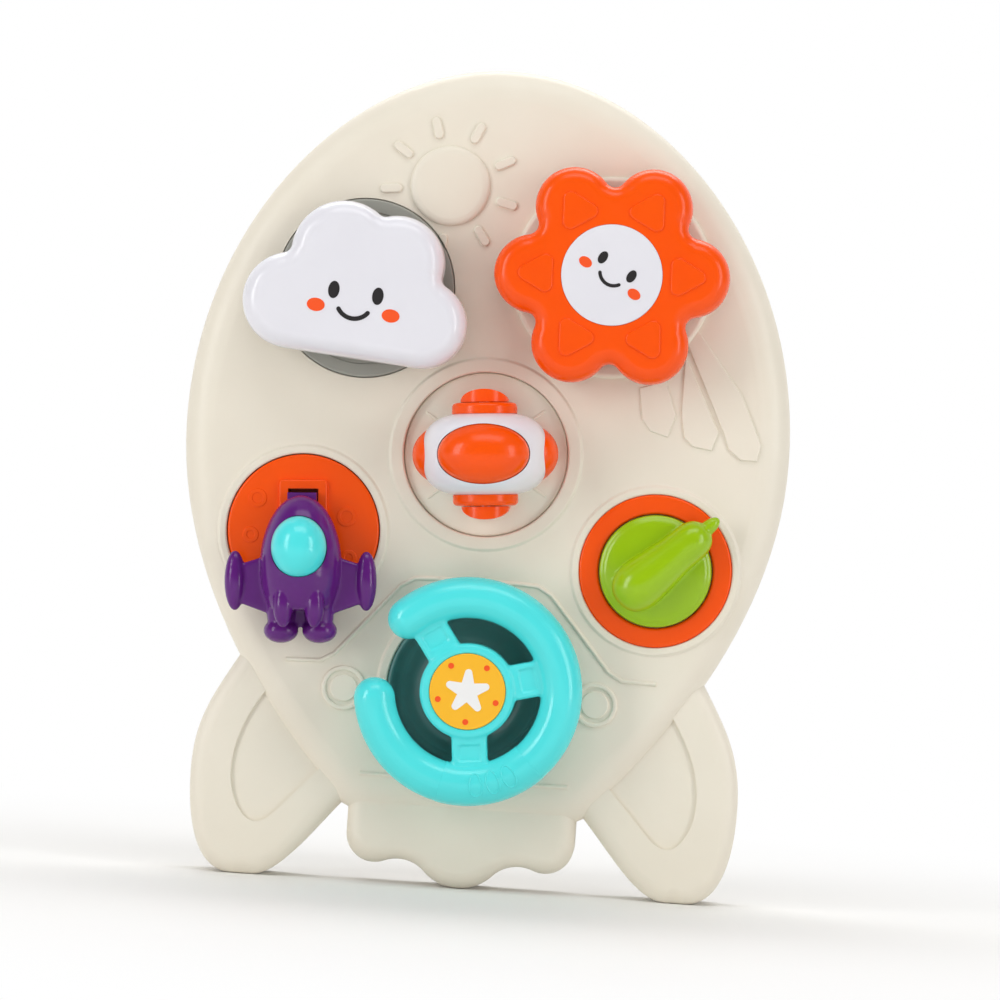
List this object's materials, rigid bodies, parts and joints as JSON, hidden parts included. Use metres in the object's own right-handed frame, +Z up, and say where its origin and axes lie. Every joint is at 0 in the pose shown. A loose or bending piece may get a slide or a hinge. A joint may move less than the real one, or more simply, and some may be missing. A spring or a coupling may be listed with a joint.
{
  "type": "busy board",
  "caption": "Rocket-shaped free-standing toddler busy board with a turning cloud, spinning flower, roller, rocking plane lever, pear knob and steering wheel.",
  "frame": {"origin": "on the floor under the middle of the board's box", "axes": "+Z up the board, front and activities towards -Y, flat back towards +Y"},
  "size_m": [0.265, 0.0806, 0.359],
  "materials": {
    "cream_shell": "satin moulded",
    "grey_table": "satin moulded",
    "white_plastic": "glossy moulded",
    "orange_plastic": "glossy moulded",
    "purple_plastic": "glossy moulded",
    "turquoise_plastic": "glossy moulded",
    "green_plastic": "glossy moulded",
    "smoke_dish": "high gloss",
    "yellow_badge": "printed label",
    "zinc_steel": "zinc plated"
  },
  "bodies": {
    "board": {"front_shell": "cream_shell", "fin_left": "cream_shell", "fin_right": "cream_shell", "flame": "cream_shell", "back_cover": "cream_shell", "cover_screws": "zinc_steel", "knob_bezel": "orange_plastic", "wheel_dish": "smoke_dish"},
    "cloud": {"cloud_turntable": "grey_table", "cloud_back": "white_plastic", "cloud_shell": "white_plastic", "cloud_washer": "zinc_steel", "cloud_screw": "zinc_steel"},
    "flower": {"flower_hub": "orange_plastic", "flower_back": "orange_plastic", "flower_shell": "orange_plastic", "flower_face": "white_plastic", "flower_washer": "zinc_steel", "flower_screw": "zinc_steel"},
    "roller_carrier": {"roller_dish": "cream_shell", "roller_yoke": "orange_plastic", "roller_axle": "zinc_steel", "roller_washer": "zinc_steel", "roller_screw": "zinc_steel"},
    "roller": {"roller_barrel": "white_plastic", "roller_drum": "orange_plastic", "roller_end_caps": "orange_plastic"},
    "plane_turntable": {"plane_disc": "orange_plastic", "plane_pin": "zinc_steel", "plane_washer": "zinc_steel", "plane_screw": "zinc_steel"},
    "plane": {"plane_arm": "purple_plastic", "plane_hull": "purple_plastic", "plane_canopy": "turquoise_plastic"},
    "knob": {"pear_knob": "green_plastic", "knob_washer": "zinc_steel", "knob_screw": "zinc_steel"},
    "wheel": {"steering_wheel": "turquoise_plastic", "wheel_column": "turquoise_plastic", "wheel_badge": "yellow_badge", "wheel_washer": "zinc_steel", "wheel_screw": "zinc_steel"}
  },
  "joints": [
    {"name": "cloud_turn", "type": "hinge", "parent": "board", "child": "cloud", "pos_m": [-0.0574, 0.0023, 0.2597], "axis": [0, -1, 0], "continuous": true},
    {"name": "flower_spin", "type": "hinge", "parent": "board", "child": "flower", "pos_m": [0.0502, 0.0023, 0.2713], "axis": [0, -1, 0], "continuous": true},
    {"name": "carrier_turn", "type": "hinge", "parent": "board", "child": "roller_carrier", "pos_m": [0.0002, 0.0023, 0.1906], "axis": [0, -1, 0], "continuous": true},
    {"name": "roller_spin", "type": "hinge", "parent": "roller_carrier", "child": "roller", "pos_m": [0.0002, -0.0077, 0.1906], "axis": [-0.0785, 0, 0.9969], "continuous": true},
    {"name": "plane_turn", "type": "hinge", "parent": "board", "child": "plane_turntable", "pos_m": [-0.0773, 0.0023, 0.1522], "axis": [0, -1, 0], "continuous": true},
    {"name": "plane_rock", "type": "hinge", "parent": "plane_turntable", "child": "plane", "pos_m": [-0.07794, 0.0063, 0.16268], "axis": [-0.9981, 0, -0.061], "range_deg": [0, 12]},
    {"name": "knob_turn", "type": "hinge", "parent": "board", "child": "knob", "pos_m": [0.0775, 0.0023, 0.1448], "axis": [0, -1, 0], "continuous": true},
    {"name": "wheel_turn", "type": "hinge", "parent": "board", "child": "wheel", "pos_m": [0, 0.0023, 0.0875], "axis": [0, -1, 0], "continuous": true}
  ]
}
